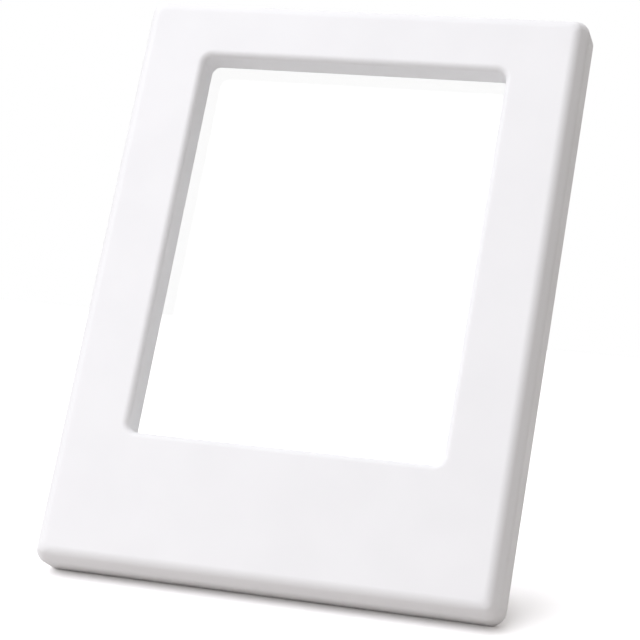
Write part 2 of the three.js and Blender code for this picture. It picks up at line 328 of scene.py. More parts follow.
class FrontSizes(bpy.types.PropertyGroup):
    """Sizes of the front moulding and its pane. The outside comes from the CAD node."""
    corner_radius: length("Corner radius", "Outer corners, seen from the front", 0.0031)
    slope_width: length("Slope width", "Edge between the face and the outer walls, across", 0.0019)
    slope_depth: length("Slope depth", "Edge between the face and the outer walls, in depth", 0.0033)
    face_round: length("Face round", "Round between the face and the sloping edge", 0.0024)
    wall_round: length("Wall round", "Round between the sloping edge and the outer walls", 0.003)
    crease_corner: length("Crease corner", "Tightest corner that the rounds leave on the face", 0.0015)
    rear_round: length("Rear round", "Round along the outer rear edge", 0.0015)
    side_border: length("Side border", "From the outer wall to the window", 0.0158)
    top_border: length("Top border", "From the top edge to the window", 0.0137)
    bottom_border: length("Bottom border", "From the bottom edge to the window", 0.0294)
    window_corner: length("Window corner radius", "Window corners, seen from the front", 0.002)
    window_round: length("Window round", "Round between the face and the window walls", 0.0014)
    window_depth: length("Window depth", "How far the window walls reach back", 0.0067)
    window_wall: length("Window wall", "Thickness of the window walls", 0.002)
    face_thickness: length("Face thickness", "Thickness of the moulding behind the face", 0.0024)
    rear_lip: length("Rear lip", "Wall that surrounds the cover", 0.0018)
    ledge_width: length("Ledge width", "Step in the outer wall in front of the cover", 0.0012)
    ledge_depth: length("Ledge depth", "From the face to that step", 0.0078)
    lip_corner: length("Lip corner", "Corners inside the walls, seen from the front", 0.0005)
    lip_edge: length("Lip edge", "Softened inner edge of the rear lip", 0.00012)
    edge_round: length("Edge round", "Softened edges of the moulding", 0.0002)
    inner_fillet: length("Inner fillet", "Hollow round where walls meet the face from inside", 0.0005)
    boss_wall: length("Boss wall", "Wall round each magnet", 0.0009)
    magnet_gap: length("Magnet gap", "Room round each magnet", 0.0003)
    rib_length: length("Rib length", "Ribs that place the pane", 0.008)
    rib_thickness: length("Rib thickness", "Ribs that place the pane", 0.0012)
    rib_from_corner: length("Rib place", "From a window corner to the middle of a rib", 0.018)
    rib_corner: length("Rib corner radius", "Corners of the ribs, seen from the rear", 0.0004)
    rib_gap: length("Rib gap", "Between a rib and the pane", 0.0003)
    pane_corner: length("Pane corner radius", "Corners of the pane", 0.003)
    pane_edge: length("Pane edge round", "Polished edges of the pane", 0.00015)


class RearSizes(bpy.types.PropertyGroup):
    """Sizes of the softened edges at the rear, and of the leg. Places come from the CAD nodes."""
    cover_edge: length("Cover edge", "Softened edges of the rear cover", 0.00025)
    disc_edge: length("Magnet edge", "Rounded rims of the disc magnets", 0.0003)
    pad_edge: length("Pad edge", "Rounded rims of the grip pads", 0.00025)
    pad_groove_radius: length("Pad groove radius", "Ring groove in each grip pad", 0.0019)
    pad_groove_width: length("Pad groove width", "Ring groove in each grip pad", 0.0005)
    pad_groove_depth: length("Pad groove depth", "Ring groove in each grip pad", 0.00015)
    pin_edge: length("Pin edge", "Rounded ends of the hinge pin", 0.00025)
    washer_edge: length("Washer edge", "Rounded rims of the washers", 0.0001)
    hinge_bore: length("Hinge bore radius", "Bore of the knuckle and the washers", 0.0012)
    hinge_gap: length("Hinge gap", "Between the knuckle and each washer", 0.0003)
    leg_thickness: length("Leg thickness", "Plate of the leg", 0.0022)
    leg_edge: length("Leg edge", "Softened edges of the leg", 0.00035)
    leg_tip_corner: length("Leg tip corner", "Upright edges at the leg's tip", 0.0005)
    leg_tip_radius: length("Leg tip radius", "Upper corner of the leg's tip", 0.0012)
    knuckle_fillet: length("Knuckle fillet", "Hollow round between knuckle and plate", 0.0004)
    foot_gap: length("Foot gap", "Between the foot and the leg", 0.0003)
    foot_edge: length("Foot edge", "Rounded edges of the foot", 0.0002)
    tread_pitch: length("Tread pitch", "From groove to groove under the foot", 0.0013)
    tread_depth: length("Tread depth", "Grooves under the foot", 0.00018)


class Finishes(bpy.types.PropertyGroup):
    """Colours and surface detail of the materials."""
    plastic: colour("Plastic", "Satin white plastic of frame, cover and leg", (0.89, 0.89, 0.9, 1.0))
    plastic_shade: colour(
        "Plastic shade", "The darker of the plastic's two shades", (0.884, 0.884, 0.895, 1.0),
    )
    acrylic: colour("Acrylic", "Clear pane", (0.999, 1.0, 0.999, 1.0))
    nickel: colour("Nickel", "Plated magnets", (0.72, 0.71, 0.69, 1.0))
    nickel_shade: colour("Nickel shade", "Dull patches of the plating", (0.62, 0.61, 0.6, 1.0))
    steel: colour("Steel", "Hinge pin", (0.58, 0.59, 0.61, 1.0))
    steel_shade: colour("Steel shade", "Drawn lines of the hinge pin", (0.42, 0.43, 0.45, 1.0))
    rubber: colour("Rubber", "Grip pads and foot", (0.16, 0.165, 0.175, 1.0))
    rubber_shade: colour(
        "Rubber shade", "The darker of the rubber's two shades", (0.115, 0.12, 0.13, 1.0),
    )
    nylon: colour("Nylon", "Washers", (0.8, 0.77, 0.69, 1.0))
    nylon_shade: colour("Nylon shade", "The darker of the nylon's two shades", (0.74, 0.71, 0.62, 1.0))
    grain_size: length("Grain size", "Spark-eroded grain of the plastic", 0.00028)
    mottle_size: length("Mottle size", "Slow change of gloss and shade", 0.012)


class StageSettings(bpy.types.PropertyGroup):
    """Camera, lamps and floor."""
    azimuth: angle("Camera azimuth", "Round to the frame's right", 17.735)
    elevation: angle("Camera elevation", "Above the floor", 12.03)
    roll: angle("Camera roll", "Tilt of the picture", -1.367)
    aim: FloatVectorProperty(
        name="Camera aim", description="Point in the middle of the picture",
        default=(0.003476, -0.008699, 0.054371), precision=5, subtype="XYZ", unit="LENGTH",
    )
    distance: length("Camera distance", "From the aim to the camera", 0.444073)
    lens: number("Focal length", "In millimetres, for a sensor of 36 mm", 119.9)
    key_power: number("Key power", "Soft lamp at the upper front left, in watts", 9.75)
    back_power: number("Back power", "Soft lamp behind the frame, in watts", 2.2)
    lamp_width: length("Lamp width", "Across each round soft lamp", 1.4)
    lamp_distance: length("Lamp distance", "From the aim to each soft lamp", 0.9)
    key_direction: direction("Key direction", "From the aim to the key lamp", (-0.42, -0.48, 0.78))
    back_direction: direction("Back direction", "From the aim to the lamp behind", (-0.15, 0.78, 0.6))
    lamp_colour: colour("Lamp colour", "Colour of both lamps", (0.95, 0.957, 1.0, 1.0))
    room_strength: number("Room strength", "Even light from all sides", 0.34)
    room_colour: colour("Room colour", "Colour of the even light", (1.0, 0.95, 0.91, 1.0))
    floor_colour: colour("Floor colour", "How the floor lights the frame", (0.61, 0.586, 0.566, 1.0))
    floor_white: number("Floor white", "How bright the floor looks for the light that it gets", 1.4)


def add_node(tree, kind, inputs=None, **settings):
    """A new node. Inputs maps a socket's name or number to a value or to the socket that feeds it."""
    node = tree.nodes.new(kind)
    for name, value in settings.items():
        setattr(node, name, value)
    for place, value in (inputs or {}).items():
        if isinstance(value, bpy.types.NodeSocket):
            tree.links.new(value, node.inputs[place])
        else:
            node.inputs[place].default_value = value
    return node


def new_group(name, inputs, outputs):
    """An empty shader node group with number sockets, and its input and output nodes."""
    tree = bpy.data.node_groups.new(name, "ShaderNodeTree")
    for label, default in inputs.items():
        socket = tree.interface.new_socket(label, in_out="INPUT", socket_type="NodeSocketFloat")
        socket.default_value = default
    for label in outputs:
        tree.interface.new_socket(label, in_out="OUTPUT", socket_type="NodeSocketFloat")
    return tree, tree.nodes.new("NodeGroupInput"), tree.nodes.new("NodeGroupOutput")


def calculate(tree, operation, first, second):
    """The socket of an operation on two numbers or sockets."""
    return add_node(tree, "ShaderNodeMath", {0: first, 1: second}, operation=operation).outputs[0]


def mixed_colour(tree, factor, first, second):
    """The socket of a colour between two: the first where the factor is 0, the second where it is 1."""
    inputs = {MIX_FACTOR: factor, MIX_FIRST: first, MIX_SECOND: second}
    return add_node(tree, "ShaderNodeMix", inputs, data_type="RGBA").outputs[MIX_RESULT]


def speckle(tree, coordinates, size, detail, roughness):
    """Noise whose features have about the given size, which is a socket."""
    scale = calculate(tree, "DIVIDE", 1.0, size)
    inputs = {"Vector": coordinates, "Scale": scale, "Detail": detail, "Roughness": roughness}
    return add_node(tree, "ShaderNodeTexNoise", inputs).outputs["Fac"]


def grain_group():
    """Moulded grain: fine noise for the height, and slow noise for changes of gloss and shade."""
    name = "moulded grain"
    if name in bpy.data.node_groups:
        return bpy.data.node_groups[name]
    tree, given, out = new_group(name, {"Grain size": 0.0003, "Mottle size": 0.01}, ["Height", "Mottle"])
    place = add_node(tree, "ShaderNodeTexCoord").outputs["Object"]
    height = speckle(tree, place, given.outputs["Grain size"], detail=3.0, roughness=0.6)
    mottle = speckle(tree, place, given.outputs["Mottle size"], detail=4.0, roughness=0.55)
    spread = add_node(
        tree, "ShaderNodeMapRange", {"Value": mottle, "From Min": 0.3, "From Max": 0.7},
        interpolation_type="SMOOTHSTEP",
    )
    tree.links.new(height, out.inputs["Height"])
    tree.links.new(spread.outputs[0], out.inputs["Mottle"])
    return tree


def drawn_group():
    """Drawn lines: noise stretched along the upright Z axis, for metal that was pulled to shape."""
    name = "drawn lines"
    if name in bpy.data.node_groups:
        return bpy.data.node_groups[name]
    tree, given, out = new_group(name, {"Line size": 0.0001, "Stretch": 40.0}, ["Lines"])
    place = add_node(tree, "ShaderNodeTexCoord").outputs["Object"]
    lean = math.atan(FLOOR_CLIMB)
    turned = add_node(tree, "ShaderNodeMapping", {"Vector": place, "Rotation": (lean, 0.0, 0.0)})
    apart = add_node(tree, "ShaderNodeSeparateXYZ", {0: turned.outputs[0]})
    slow = calculate(tree, "DIVIDE", apart.outputs["Z"], given.outputs["Stretch"])
    joined = add_node(
        tree, "ShaderNodeCombineXYZ",
        {"X": apart.outputs["X"], "Y": apart.outputs["Y"], "Z": slow},
    )
    lines = speckle(tree, joined.outputs[0], given.outputs["Line size"], detail=2.0, roughness=0.5)
    tree.links.new(lines, out.inputs["Lines"])
    return tree


def empty_tree(owner):
    """The node tree of a material or a world, with nothing in it."""
    owner.use_nodes = True
    owner.node_tree.nodes.clear()
    return owner.node_tree


def new_material(name):
    """A material with only a Principled BSDF on its output."""
    material = bpy.data.materials.new(name)
    tree = empty_tree(material)
    shader = add_node(tree, "ShaderNodeBsdfPrincipled")
    add_node(tree, "ShaderNodeOutputMaterial", {"Surface": shader.outputs[0]})
    return material, tree, shader


def grained_material(name, light, dark, grain):
    """A moulded material: two close shades, a gloss that drifts between two values, and a fine grain."""
    if name in bpy.data.materials:
        return bpy.data.materials[name]
    material, tree, shader = new_material(name)
    surface = add_node(
        tree, "ShaderNodeGroup", {"Grain size": grain.size, "Mottle size": grain.mottle},
        node_tree=grain_group(),
    )
    mottle = surface.outputs["Mottle"]
    gloss = add_node(
        tree, "ShaderNodeMapRange", {"Value": mottle, "To Min": grain.glossy, "To Max": grain.dull},
    )
    relief = add_node(
        tree, "ShaderNodeBump",
        {"Strength": grain.bump, "Distance": grain.height, "Height": surface.outputs["Height"]},
    )
    tree.links.new(mixed_colour(tree, mottle, light, dark), shader.inputs["Base Color"])
    tree.links.new(gloss.outputs[0], shader.inputs["Roughness"])
    tree.links.new(relief.outputs[0], shader.inputs["Normal"])
    return material


def plastic_material(finishes):
    grain = Grain(
        size=finishes.grain_size, mottle=finishes.mottle_size, glossy=0.5, dull=0.6,
        bump=0.06, height=0.00002,
    )
    return grained_material("satin white plastic", finishes.plastic, finishes.plastic_shade, grain)


def rubber_material(finishes):
    grain = Grain(size=0.00012, mottle=0.0015, glossy=0.72, dull=0.88, bump=0.35, height=0.00003)
    return grained_material("soft grey rubber", finishes.rubber, finishes.rubber_shade, grain)


def nylon_material(finishes):
    grain = Grain(size=0.0001, mottle=0.001, glossy=0.42, dull=0.55, bump=0.1, height=0.00002)
    return grained_material("natural nylon", finishes.nylon, finishes.nylon_shade, grain)


def nickel_material(finishes):
    grain = Grain(size=0.00015, mottle=0.002, glossy=0.16, dull=0.3, bump=0.05, height=0.00001)
    material = grained_material("bright nickel plating", finishes.nickel, finishes.nickel_shade, grain)
    material.node_tree.nodes["Principled BSDF"].inputs["Metallic"].default_value = 1.0
    return material


def steel_material(finishes):
    """Drawn steel: lines along the pin in its colour, gloss and relief."""
    name = "drawn steel"
    if name in bpy.data.materials:
        return bpy.data.materials[name]
    material, tree, shader = new_material(name)
    drawn = tree.nodes.new("ShaderNodeGroup")
    drawn.node_tree = drawn_group()
    lines = drawn.outputs["Lines"]
    shade = mixed_colour(tree, lines, finishes.steel, finishes.steel_shade)
    gloss = add_node(tree, "ShaderNodeMapRange", {"Value": lines, "To Min": 0.22, "To Max": 0.42})
    relief = add_node(tree, "ShaderNodeBump", {"Strength": 0.2, "Distance": 0.00001, "Height": lines})
    tree.links.new(shade, shader.inputs["Base Color"])
    tree.links.new(gloss.outputs[0], shader.inputs["Roughness"])
    tree.links.new(relief.outputs[0], shader.inputs["Normal"])
    shader.inputs["Metallic"].default_value = 1.0
    return material


def acrylic_material(finishes):
    """Clear acrylic with a faint haze in its gloss. It lets the lamps through."""
    name = "clear acrylic"
    if name in bpy.data.materials:
        return bpy.data.materials[name]
    material, tree, shader = new_material(name)
    shader.inputs["Base Color"].default_value = finishes.acrylic
    shader.inputs["Transmission Weight"].default_value = 1.0
    shader.inputs["IOR"].default_value = 1.49
    haze = tree.nodes.new("ShaderNodeGroup")
    haze.node_tree = grain_group()
    haze.inputs["Mottle size"].default_value = 0.02
    gloss = add_node(
        tree, "ShaderNodeMapRange", {"Value": haze.outputs["Mottle"], "To Min": 0.0, "To Max": 0.03},
    )
    tree.links.new(gloss.outputs[0], shader.inputs["Roughness"])
    path = add_node(tree, "ShaderNodeLightPath")
    through = add_node(tree, "ShaderNodeBsdfTransparent")
    mix = add_node(
        tree, "ShaderNodeMixShader",
        {0: path.outputs["Is Shadow Ray"], 1: shader.outputs[0], 2: through.outputs[0]},
    )
    tree.links.new(mix.outputs[0], tree.nodes["Material Output"].inputs["Surface"])
    return material


def front_rects(sizes):
    """The frame's outside and its window as rectangles, and the frame's depth."""
    low, high = upright_box("front_bezel")
    outside = Rect(low[0], high[0], low[2], high[2], sizes.corner_radius)
    window = Rect(
        low[0] + sizes.side_border, high[0] - sizes.side_border,
        low[2] + sizes.bottom_border, high[2] - sizes.top_border, sizes.window_corner,
    )
    return outside, window, high[1]


def bezel_shell(sizes):
    """The front moulding as one closed ring.

    Its section runs from the inside of the face along the inner wall, the ledge and the rear lip, round
    the outer wall and over the sloping edge to the face, then over the window's round and along the
    window wall back to the inside of the face. The first part is carried round the outside with tight
    corners that fit the cover, the second with the outer corners, and the third round the window.
    """
    outside, window, depth = front_rects(sizes)
    edge, fillet = sizes.edge_round, sizes.inner_fillet
    lip = -sizes.rear_lip
    wall = lip - sizes.ledge_width
    middle = -sizes.side_border / 2
    inside_part = rounded_section(
        [
            (middle, sizes.face_thickness), (wall, sizes.face_thickness), (wall, sizes.ledge_depth),
            (lip, sizes.ledge_depth), (lip, depth), (0, depth),
        ],
        [fillet, edge, edge, sizes.lip_edge],
    )
    outside_part = rounded_section(
        [(lip, depth), (0, depth), (0, sizes.slope_depth), (-sizes.slope_width, 0), (middle, 0)],
        [sizes.rear_round, sizes.wall_round, sizes.face_round],
    )
    window_part = rounded_section(
        [
            (-middle, 0), (0, 0), (0, sizes.window_depth), (sizes.window_wall, sizes.window_depth),
            (sizes.window_wall, sizes.face_thickness), (-middle, sizes.face_thickness),
        ],
        [sizes.window_round, edge, edge, fillet],
    )
    rings = [
        rect_rings(outside._replace(radius=0.0), inside_part, sizes.lip_corner),
        rect_rings(outside, outside_part, sizes.crease_corner),
        rect_rings(window, window_part),
    ]
    return skin(np.concatenate(rings), closed=True)


def boss_shell(sizes, node):
    """A round cup for one magnet: its outer wall, rim, pocket wall and pocket floor, turned about Y."""
    radius, middle, low, high = round_box(node)
    pocket = radius + sizes.magnet_gap
    wall = pocket + sizes.boss_wall
    rim = high[1] + sizes.magnet_gap
    floor = low[1] - sizes.magnet_gap
    root = sizes.face_thickness - sizes.inner_fillet
    section = rounded_section(
        [(0, root), (wall, root), (wall, rim), (pocket, rim), (pocket, floor), (0, floor)],
        [sizes.edge_round] * 4,
    )
    return skin(turned_rings(section, middle[0], middle[2]))


def rib_shells(sizes):
    """The upright ribs that place the pane, two to a side, each with a rounded top."""
    _, window, _ = front_rects(sizes)
    low, high = upright_box("front_pane")
    half = sizes.rib_length / 2
    near, far = sizes.rib_gap, sizes.rib_gap + sizes.rib_thickness
    rects = []
    for z in (window.bottom + sizes.rib_from_corner, window.top - sizes.rib_from_corner):
        rects.append(Rect(low[0] - far, low[0] - near, z - half, z + half, sizes.rib_corner))
        rects.append(Rect(high[0] + near, high[0] + far, z - half, z + half, sizes.rib_corner))
    for x in (window.left + sizes.rib_from_corner, window.right - sizes.rib_from_corner):
        rects.append(Rect(x - half, x + half, low[2] - far, low[2] - near, sizes.rib_corner))
        rects.append(Rect(x - half, x + half, high[2] + near, high[2] + far, sizes.rib_corner))
    root = sizes.face_thickness - sizes.inner_fillet
    inner = -sizes.rib_corner
    section = rounded_section(
        [(inner, root), (0, root), (0, sizes.ledge_depth), (inner, sizes.ledge_depth)],
        [sizes.edge_round] * 2,
    )
    return [skin(rect_rings(rect, section)) for rect in rects]


def slab_shell(rect, front, rear, edge):
    """A flat plate between two depths: a rectangle with round corners and softened edges."""
    inner = -rect.radius
    section = rounded_section([(inner, front), (0, front), (0, rear), (inner, rear)], [edge] * 2)
    return skin(rect_rings(rect, section))


def disc_shell(node, edge):
    """A disc in a CAD node's place: a rectangle of radius and depth with a round rim, turned about Y."""
    radius, middle, low, high = round_box(node)
    section = rounded_section(
        [(0, low[1]), (radius, low[1]), (radius, high[1]), (0, high[1])], [edge] * 2,
    )
    return skin(turned_rings(section, middle[0], middle[2]))


def pad_shell(node, sizes):
    """A grip pad: a disc with a round rim and a shallow ring groove in its rear face, turned about Y.

    The groove's walls slope by a third of its depth, and its edges are rounded by as much.
    """
    radius, middle, low, high = round_box(node)
    rear, bed = high[1], high[1] - sizes.pad_groove_depth
    outer = sizes.pad_groove_radius + sizes.pad_groove_width / 2
    inner = sizes.pad_groove_radius - sizes.pad_groove_width / 2
    soft = sizes.pad_groove_depth / 3
    section = rounded_section(
        [
            (0, low[1]), (radius, low[1]), (radius, rear), (outer, rear), (outer - soft, bed),
            (inner + soft, bed), (inner, rear), (0, rear),
        ],
        [sizes.pad_edge] * 2 + [soft] * 4,
    )
    return skin(turned_rings(section, middle[0], middle[2]))


def pin_shell(sizes):
    """The hinge pin: a rectangle of radius and height, turned about Z, with rounded ends."""
    radius, middle, low, high = round_box("hinge_pin")
    section = rounded_section(
        [(0, low[2]), (radius, low[2]), (radius, high[2]), (0, high[2])], [sizes.pin_edge] * 2,
    )
    return skin(upright_turned_rings(section, middle[0], middle[1]))


def washer_shell(node, sizes):
    """A washer: a closed rectangle of radius and height, turned about Z."""
    radius, middle, low, high = round_box(node)
    bore = sizes.hinge_bore
    section = rounded_section(
        [(bore, low[2]), (radius, low[2]), (radius, high[2]), (bore, high[2])],
        [sizes.washer_edge] * 4, closed=True,
    )
    return skin(upright_turned_rings(section, middle[0], middle[1]), closed=True)


def hinge_depth():
    """Depth of the hinge's axis behind the face."""
    _, middle, _, _ = round_box("hinge_pin")
    return middle[1]


def foot_top(reach, sizes):
    """Height of the leg's underside over the foot, at a reach behind the hinge."""
    low, high = upright_box("leg_foot")
    thickness = high[2] - low[2] - (high[1] - low[1]) * FLOOR_CLIMB
    gap = sizes.foot_gap / REARWARD[1]
    return low[2] + (reach - (low[1] - hinge_depth())) * FLOOR_CLIMB + thickness + gap


def leg_outline(radius, inner_face, reach, sizes):
    """The leg seen from above, as points of thickness and reach.

    The outer face runs straight to the knuckle, a circle about the hinge carries on round it, a hollow
    fillet leads to the inner face, and the inner face runs back to the tip, whose two corners are round.
    The fillet's centre is its own radius off both the circle and the inner face.
    """
    corner, fillet = sizes.leg_tip_corner, sizes.knuckle_fillet
    centre_x = inner_face + fillet
    centre_reach = math.sqrt((radius + fillet) ** 2 - centre_x ** 2)
    meet = math.atan2(centre_reach, centre_x)
    eased = np.sin(np.linspace(0, 1, LEG_SIDE_POINTS) * math.pi / 2)
    knuckle_turn = np.linspace(math.pi, 2 * math.pi + meet, KNUCKLE_POINTS)
    fillet_turn = np.linspace(meet + math.pi, math.pi, LEG_CORNER_POINTS)[1:]
    corner_turn = np.linspace(0, math.pi / 2, LEG_CORNER_POINTS)
    straight_end = reach - corner
    outer_reach = straight_end * eased[:0:-1]
    outer = np.column_stack([np.full_like(outer_reach, -radius), outer_reach])
    knuckle = radius * circle(knuckle_turn)
    hollow = (centre_x, centre_reach) + fillet * circle(fillet_turn)
    inner_reach = centre_reach + (straight_end - centre_reach) * eased[1:-1]
    inner = np.column_stack([np.full_like(inner_reach, inner_face), inner_reach])
    arc = corner * circle(corner_turn)
    near_tip = (inner_face - corner, straight_end) + arc
    far_tip = (-radius + corner, straight_end) + arc[::-1] * (-1, 1)
    return np.concatenate([outer, knuckle, hollow, inner, near_tip, far_tip[:-1]])


def leg_shell(sizes):
    """The swing-out leg as one closed shell.

    Its outline, seen from above, is carried from the underside to the top. The underside is level under
    the knuckle, climbs to the foot and follows the foot; the top is nearly level and drops round the tip.
    Near both ends the outline shrinks along its normals by a quarter circle, which softens the edges. A
    round bore runs through the knuckle.
    """
    low, high = upright_box("swing_leg")
    hinge = hinge_depth()
    radius, reach = -low[0], high[1] - hinge
    knuckle_bottom = upright_box("hinge_washer_lower")[1][2] + sizes.hinge_gap
    knuckle_top = upright_box("hinge_washer_upper")[0][2] - sizes.hinge_gap
    foot_start = upright_box("leg_foot")[0][1] - hinge - sizes.foot_gap

    outline = leg_outline(radius, sizes.leg_thickness - radius, reach, sizes)
    along = np.roll(outline, -1, axis=0) - np.roll(outline, 1, axis=0)
    normal = np.stack([along[:, 1], -along[:, 0]], axis=1)
    normal /= np.linalg.norm(normal, axis=1, keepdims=True)
    middle = outline.mean(axis=0)
    if np.einsum("ij,ij->", normal, outline - middle) < 0:
        normal = -normal

    bends = [radius, foot_start, reach]
    underside = np.interp(
        outline[:, 1], bends, [knuckle_bottom, foot_top(foot_start, sizes), foot_top(reach, sizes)],
    )
    tip = sizes.leg_tip_radius
    top = np.interp(outline[:, 1], [0, reach - tip], [knuckle_top, high[2]])
    past = np.clip(outline[:, 1] - (reach - tip), 0, tip)
    top = top - tip + np.sqrt(tip ** 2 - past ** 2)

    quarter = np.linspace(0, math.pi / 2, LEG_EDGE_POINTS)
    shrink = sizes.leg_edge * (1 - np.sin(quarter))
    lift = sizes.leg_edge * (1 - np.cos(quarter))

    def ring(inset, height):
        plan = outline - normal * inset
        return np.column_stack([plan[:, 0], hinge + plan[:, 1], height])

    rings = [ring(inset, underside + rise) for inset, rise in zip(shrink, lift)]
    rings += [ring(inset, top - rise) for inset, rise in zip(shrink[::-1], lift[::-1])]
    rings = np.array(rings)
    index = numbered(rings.shape[:2])
    onward = np.roll(index, -1, axis=1)
    quads = np.stack([index[:-1], onward[:-1], onward[1:], index[1:]], axis=-1).reshape(-1, 4)

    turn = np.linspace(0, 2 * math.pi, TURN_STEPS, endpoint=False)
    bore_plan = (0, hinge) + sizes.hinge_bore * circle(turn)
    bore = np.column_stack([bore_plan, np.full(TURN_STEPS, knuckle_bottom)])
    bore_top = bore + (0, 0, knuckle_top - knuckle_bottom)
    bore_index = index.size + numbered((2, TURN_STEPS))
    bore_onward = np.roll(bore_index, -1, axis=1)
    bore_quads = np.stack([bore_index[1], bore_onward[1], bore_onward[0], bore_index[0]], axis=-1)

    def cap(edge_ring, edge_index, hole_ring, hole_index):
        flat = [(ring_points * (1, 1, 0)).tolist() for ring_points in (edge_ring, hole_ring)]
        return np.concatenate([edge_index, hole_index])[np.array(tessellate_polygon(flat))]

    points = np.concatenate([rings.reshape(-1, 3), bore, bore_top])
    bottom_cap = cap(rings[0], index[0], bore, bore_index[0])
    top_cap = cap(rings[-1], index[-1], bore_top, bore_index[1])
    return points, [quads, bore_quads, facing(points, bottom_cap, -1), facing(points, top_cap, 1)]


def foot_shell(sizes):
    """The rubber foot: a strip with softened edges that follows the standing surface, with a tread below.

    A small rectangle of thickness and height is carried along the depth and shrinks at both ends. Every
    point is lifted by the climb of the standing surface, and the underside by the tread, which is half a
    wave for each groove. The lowest quarter counts as the underside. The long edges are twice as round as
    those at the ends.
    """
    low, high = upright_box("leg_foot")
    thickness = high[2] - low[2] - (high[1] - low[1]) * FLOOR_CLIMB
    edge = sizes.foot_edge
    rect = Rect(low[0], high[0], low[2], low[2] + thickness, 2 * edge)
    ends = rounded_section([(-edge, low[1]), (0, low[1]), (0, high[1]), (-edge, high[1])], [edge] * 2)
    half = len(ends) // 2
    inner = np.linspace(ends[half - 1, 1], ends[half, 1], FOOT_POINTS)[1:-1]
    section = np.concatenate([ends[:half], np.column_stack([np.zeros_like(inner), inner]), ends[half:]])
    rings = rect_rings(rect, section)
    depth = rings[..., 1] - low[1]
    below = rings[..., 2] < low[2] + thickness / 4
    whole = math.floor((high[1] - low[1]) / sizes.tread_pitch)
    wave = np.clip(np.sin(2 * math.pi * depth * whole / (high[1] - low[1]) - math.pi / 2), 0, 1)
    rings[..., 2] += depth * FLOOR_CLIMB + below * wave * sizes.tread_depth
    return skin(rings)


def softened_copy(name, node, edge):
    """A copy of a CAD node with its doubles merged, its flats joined and a small round on its edges."""
    shape = bmesh.new()
    shape.from_mesh(frame["nodes"][node].data)
    bmesh.ops.remove_doubles(shape, verts=shape.verts, dist=MERGE_DISTANCE)
    bmesh.ops.dissolve_limit(shape, angle_limit=FLAT_ANGLE, verts=shape.verts, edges=shape.edges)
    mesh = bpy.data.meshes.new(name)
    shape.to_mesh(mesh)
    shape.free()
    mesh.shade_smooth()
    piece = bpy.data.objects.new(name, mesh)
    bpy.context.scene.collection.objects.link(piece)
    bevel = piece.modifiers.new("edge round", "BEVEL")
    bevel.width = edge
    bevel.segments = BEVEL_SEGMENTS
    bevel.limit_method = "ANGLE"
    bevel.angle_limit = SHARP_ANGLE
    bevel.harden_normals = True
    return piece


class FrontMoulding(bpy.types.Operator):
    """Make the front moulding with its magnet cups and ribs"""
    bl_idname = "photo_frame.front_moulding"
    bl_label = "Front moulding"

    def execute(self, context):
        sizes, finishes = context.scene.photo_frame_front, context.scene.photo_frame_finishes
        plastic = plastic_material(finishes)
        cups = [boss_shell(sizes, f"bezel_magnet_{place}") for place in FRAME_CORNERS]
        shells = [bezel_shell(sizes)]
        make_piece("bezel_moulding", shells, "front_frame", "white_plastic", plastic, "front_bezel")
        make_piece("bezel_magnet_cups", cups, "front_frame", "white_plastic", plastic)
        make_piece("bezel_pane_ribs", rib_shells(sizes), "front_frame", "white_plastic", plastic)
        return {"FINISHED"}


class ClearPane(bpy.types.Operator):
    """Make the clear pane behind the window"""
    bl_idname = "photo_frame.clear_pane"
    bl_label = "Clear pane"

    def execute(self, context):
        sizes, finishes = context.scene.photo_frame_front, context.scene.photo_frame_finishes
        low, high = upright_box("front_pane")
        rect = Rect(low[0], high[0], low[2], high[2], sizes.pane_corner)
        shells = [slab_shell(rect, low[1], high[1], sizes.pane_edge)]
        acrylic = acrylic_material(finishes)
        make_piece("clear_pane", shells, "front_frame", "clear_plastic", acrylic, "front_pane")
        return {"FINISHED"}


class DiscMagnets(bpy.types.Operator):
    """Make the disc magnets of the front moulding and of the cover"""
    bl_idname = "photo_frame.disc_magnets"
    bl_label = "Disc magnets"

    def execute(self, context):
        edge = context.scene.photo_frame_rear.disc_edge
        nickel = nickel_material(context.scene.photo_frame_finishes)
        for group, body in (("bezel_magnet", "front_frame"), ("cover_magnet", "cover")):
            for place in FRAME_CORNERS:
                node = f"{group}_{place}"
                shells = [disc_shell(node, edge)]
                make_piece(f"{group}_disc_{place}", shells, body, "magnet_nickel", nickel, node)
        return {"FINISHED"}


class RearCover(bpy.types.Operator):
    """Make the rear cover with softened edges"""
    bl_idname = "photo_frame.rear_cover"
    bl_label = "Rear cover"

    def execute(self, context):
        edge = context.scene.photo_frame_rear.cover_edge
        plastic = plastic_material(context.scene.photo_frame_finishes)
        piece = softened_copy("cover_moulding", "rear_cover", edge)
        settle(piece, "cover", plastic, ["rear_cover"])
        return {"FINISHED"}


class GripPads(bpy.types.Operator):
    """Make the rubber pads over the cover's magnets"""
    bl_idname = "photo_frame.grip_pads"
    bl_label = "Grip pads"

    def execute(self, context):
        sizes = context.scene.photo_frame_rear
        rubber = rubber_material(context.scene.photo_frame_finishes)
        for place in FRAME_CORNERS:
            node = f"grip_pad_{place}"
            shells = [pad_shell(node, sizes)]
            make_piece(f"grip_disc_{place}", shells, "cover", "grey_rubber", rubber, node)
        return {"FINISHED"}


class LegHinge(bpy.types.Operator):
    """Make the hinge pin and its two washers"""
    bl_idname = "photo_frame.leg_hinge"
    bl_label = "Leg hinge"

    def execute(self, context):
        sizes, finishes = context.scene.photo_frame_rear, context.scene.photo_frame_finishes
        steel, nylon = steel_material(finishes), nylon_material(finishes)
        make_piece("hinge_rod", [pin_shell(sizes)], "cover", "pin_steel", steel, "hinge_pin")
        for side in ("lower", "upper"):
            node = f"hinge_washer_{side}"
            shells = [washer_shell(node, sizes)]
            make_piece(f"hinge_ring_{side}", shells, "cover", "nylon", nylon, node)
        return {"FINISHED"}


